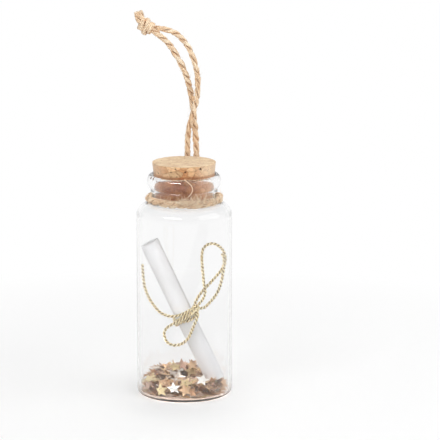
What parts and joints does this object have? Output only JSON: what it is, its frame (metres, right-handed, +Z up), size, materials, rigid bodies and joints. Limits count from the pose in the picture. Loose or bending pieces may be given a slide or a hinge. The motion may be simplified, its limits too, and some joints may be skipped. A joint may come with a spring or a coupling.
{
  "type": "message in a bottle",
  "caption": "Small corked glass bottle holding a tied paper scroll over a heap of star confetti, with a twine hanging loop at its neck.",
  "frame": {"origin": "centre of the bottle's base, on the surface that it stands on", "axes": "+Z up along the bottle's axis, -Y the front seen in the picture, +X to the right"},
  "size_m": [0.0378, 0.038, 0.1496],
  "materials": {
    "glass": "clear polished glass",
    "cork": "pressed cork with dark pits, cut faces",
    "twine": "two-ply jute twine with loose fibres",
    "paper": "smooth matte white writing paper",
    "metallic_cord": "twisted metallic gold cord",
    "foil_gold": "bright metallised film",
    "foil_champagne": "bright metallised film",
    "foil_amber": "bright metallised film",
    "foil_bronze": "bright metallised film"
  },
  "bodies": {
    "bottle": {"bottle": "glass", "neck_twine": "twine", "neck_knot": "twine"},
    "stopper": {"stopper": "cork"},
    "hanging_loop": {"loop_strand_left": "twine", "loop_strand_right": "twine", "top_knot": "twine", "knot_tails": "twine"},
    "contents": {"message_scroll": "paper", "tie_wraps": "metallic_cord", "tie_knot": "metallic_cord", "tie_upper_loop": "metallic_cord", "tie_lower_loop": "metallic_cord", "tie_left_tail": "metallic_cord", "tie_right_tail": "metallic_cord", "stars_gold": "foil_gold", "stars_champagne": "foil_champagne", "stars_amber": "foil_amber", "stars_bronze": "foil_bronze"}
  },
  "joints": [
    {"name": "stopper_lift", "type": "slide", "parent": "bottle", "child": "stopper", "axis": [0, 0, 1], "range_m": [0, 0.03]},
    {"name": "loop_swing", "type": "hinge", "parent": "bottle", "child": "hanging_loop", "pos_m": [0.00317, 0.01493, 0.07822], "axis": [-1, 0, 0], "range_deg": [0, 110]},
    {"name": "contents_turn", "type": "hinge", "parent": "bottle", "child": "contents", "pos_m": [0, 0, 0.03], "axis": [0, 0, 1], "continuous": true}
  ]
}
